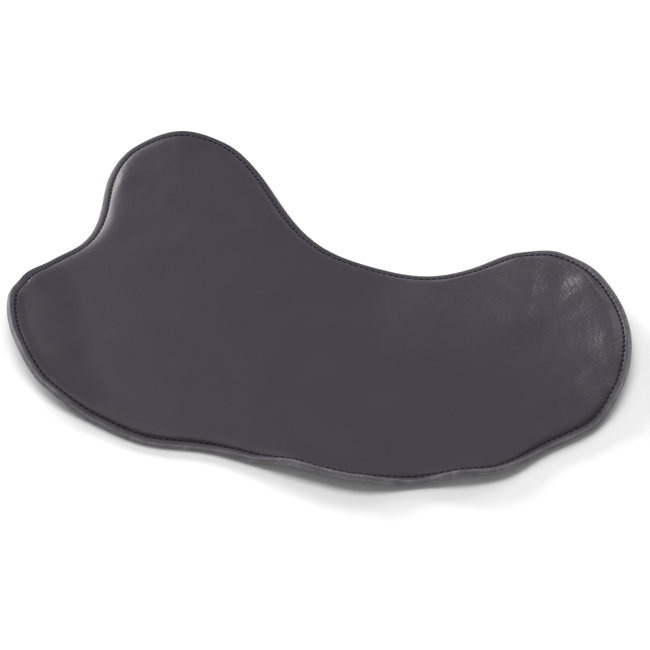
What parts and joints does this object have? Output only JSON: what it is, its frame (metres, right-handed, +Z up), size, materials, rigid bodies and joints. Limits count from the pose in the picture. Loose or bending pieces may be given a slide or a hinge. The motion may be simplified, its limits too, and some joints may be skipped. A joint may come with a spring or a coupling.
{
  "type": "valet tray",
  "caption": "Free-form leather valet tray: two sewn leather plies over a thin formable core, with a hand-curled rim, for watch, keys and coins.",
  "frame": {"origin": "on the table, under the middle of the outline's box", "axes": "+X to the right, +Y to the back, +Z up; the front is the long wavy edge on -Y"},
  "size_m": [0.2361, 0.2034, 0.0125],
  "materials": {
    "leather_top": "matte black, fine grain",
    "leather_bottom": "matte black",
    "core_sheet": "soft rolled sheet",
    "thread": "waxed black thread"
  },
  "bodies": {
    "root": {"top_leather": "leather_top", "bottom_leather": "leather_bottom", "core": "core_sheet", "needle_thread": "thread", "bobbin_thread": "thread"}
  },
  "joints": []
}
